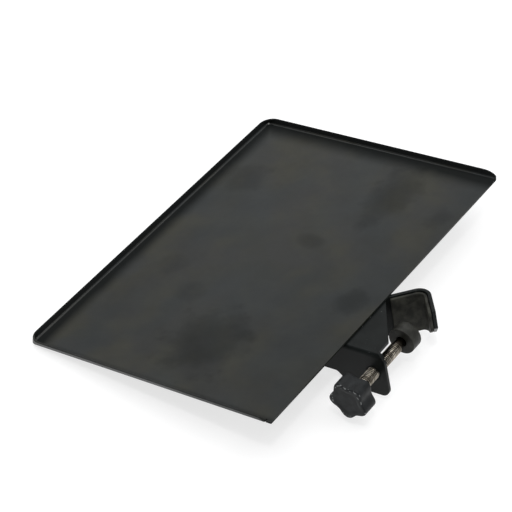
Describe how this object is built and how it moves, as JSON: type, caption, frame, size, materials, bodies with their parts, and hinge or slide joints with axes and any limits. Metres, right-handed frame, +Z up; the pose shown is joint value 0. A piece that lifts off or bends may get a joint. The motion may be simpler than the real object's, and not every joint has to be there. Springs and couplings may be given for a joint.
{
  "type": "clamp-on drawing board",
  "caption": "Pressed steel board with a low lip on three sides and a screw clamp with a V-shaped jaw under its open edge, for an upright round pole.",
  "frame": {"origin": "middle of the working surface, on its upper face", "axes": "+Z up from the working surface, +X towards the open edge and the clamp, +Y along the long side away from the knob"},
  "size_m": [0.2197, 0.265, 0.0376],
  "materials": {
    "board_coating": "satin black powder coat",
    "bracket_paint": "semi-gloss black paint",
    "liner_rubber": "dark grey moulded rubber",
    "plated_steel": "bright zinc plate",
    "knob_plastic": "matt dark grey moulded plastic",
    "pad_plastic": "matt black moulded plastic"
  },
  "bodies": {
    "board": {"board_pan": "board_coating", "clamp_bracket": "bracket_paint", "hook_jaw": "bracket_paint", "jaw_liner": "liner_rubber", "threaded_bush": "plated_steel"},
    "pad": {"pressure_pad": "pad_plastic"},
    "screw": {"clamp_screw": "plated_steel", "knob_body": "knob_plastic"}
  },
  "joints": [
    {"name": "pad_travel", "type": "slide", "parent": "board", "child": "pad", "axis": [0, 1, 0], "range_m": [-0.02625, 0.01]},
    {"name": "screw_turn", "type": "hinge", "parent": "pad", "child": "screw", "pos_m": [0.1095, -0.069, -0.0172], "axis": [0, 1, 0], "range_deg": [-7561, 2881]}
  ],
  "couplings": [
    {"joint": "screw_turn", "follows": "pad_travel", "rad_per_m": 5026.5}
  ]
}
